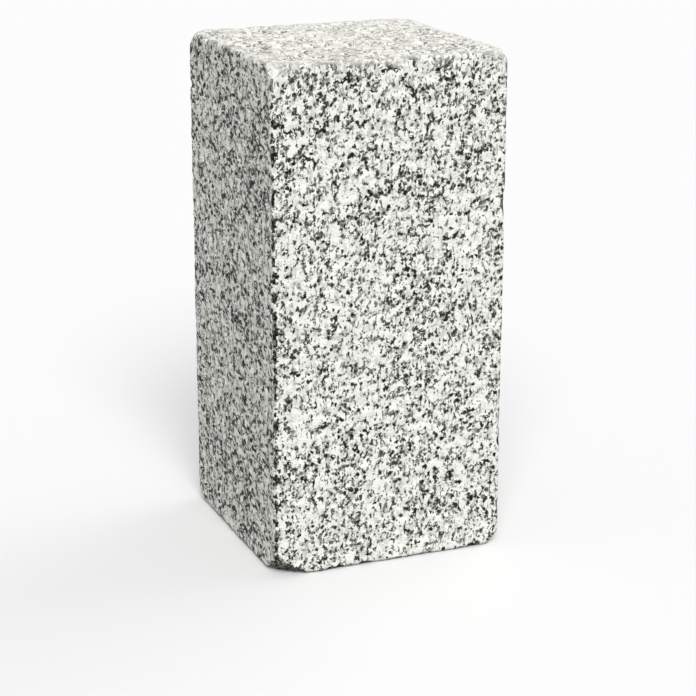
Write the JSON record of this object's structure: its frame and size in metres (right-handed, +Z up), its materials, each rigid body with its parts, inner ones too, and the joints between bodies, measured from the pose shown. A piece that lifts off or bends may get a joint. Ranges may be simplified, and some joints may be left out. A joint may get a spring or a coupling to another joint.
{
  "type": "granite palisade",
  "caption": "Upright square granite post with bush-hammered faces, eased arrises, worn corners and a knocked foot corner, for setting in a row as a kerb or bed edge.",
  "frame": {"origin": "centre of the foot, on the ground that the stone stands on", "axes": "+Z up the stone, -Y out of the front face, -X out of the face to the left of the front"},
  "size_m": [0.12, 0.12, 0.25],
  "materials": {
    "granite": "bush-hammered, matt, light grey salt-and-pepper granite"
  },
  "bodies": {
    "root": {"palisade_stone": "granite"}
  },
  "joints": []
}
